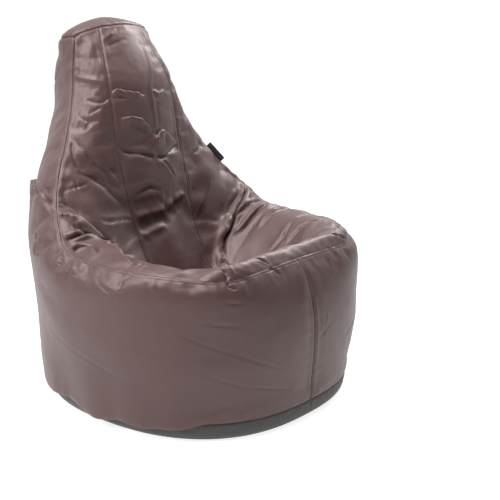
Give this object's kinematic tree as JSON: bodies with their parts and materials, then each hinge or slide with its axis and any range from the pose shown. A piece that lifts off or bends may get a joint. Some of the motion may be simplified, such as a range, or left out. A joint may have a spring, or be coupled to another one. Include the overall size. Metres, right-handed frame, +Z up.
{
  "type": "bean bag chair",
  "caption": "High-back bean bag chair: sewn faux-leather cover with low arms and a seat hollow, round a zipped liner full of foam beads.",
  "frame": {"origin": "middle of the flat floor area under the base, at floor level", "axes": "+Z up; the sitter faces -Y; +X is the sitter's left"},
  "size_m": [0.7674, 0.8166, 0.9136],
  "materials": {
    "faux_leather": "satin",
    "base_canvas": "matte",
    "liner_cotton": "matte",
    "bead_foam": "matte",
    "zip_tape": "matte",
    "zip_coil": "satin",
    "zip_metal": "polished",
    "tag_fabric": "matte"
  },
  "bodies": {
    "root": {"base_panel": "base_canvas", "bead_fill": "bead_foam", "cover_zip_bottom_stop": "zip_metal", "cover_zip_tape_left": "zip_tape", "cover_zip_tape_right": "zip_tape", "cover_zip_teeth_left": "zip_coil", "cover_zip_teeth_right": "zip_coil", "cover_zip_top_stop": "zip_metal", "head_cap": "faux_leather", "liner_base": "liner_cotton", "liner_seat": "liner_cotton", "liner_wall_left": "liner_cotton", "liner_wall_right": "liner_cotton", "liner_zip_bottom_stop": "zip_metal", "liner_zip_tape_left": "zip_tape", "liner_zip_tape_right": "zip_tape", "liner_zip_teeth_left": "zip_coil", "liner_zip_teeth_right": "zip_coil", "liner_zip_top_stop": "zip_metal", "outer_panel_left": "faux_leather", "outer_panel_right": "faux_leather", "seat_centre_panel": "faux_leather", "seat_side_panel_left": "faux_leather", "seat_side_panel_right": "faux_leather", "side_tag": "tag_fabric"},
    "cover_slider": {"cover_zip_slider": "zip_metal"},
    "cover_pull": {"cover_zip_pull": "zip_metal"},
    "liner_slider": {"liner_zip_slider": "zip_metal"}
  },
  "joints": [
    {"name": "cover_zip_slide", "type": "slide", "parent": "root", "child": "cover_slider", "axis": [0, 0.1608, 0.987], "range_m": [-0.33, 0]},
    {"name": "cover_pull_swing", "type": "hinge", "parent": "cover_slider", "child": "cover_pull", "pos_m": [0, 0.4144, 0.42524], "axis": [1, 0, 0], "range_deg": [-8, 150]},
    {"name": "liner_zip_slide", "type": "slide", "parent": "root", "child": "liner_slider", "axis": [1, 0, 0], "range_m": [-0.275, 0]}
  ]
}
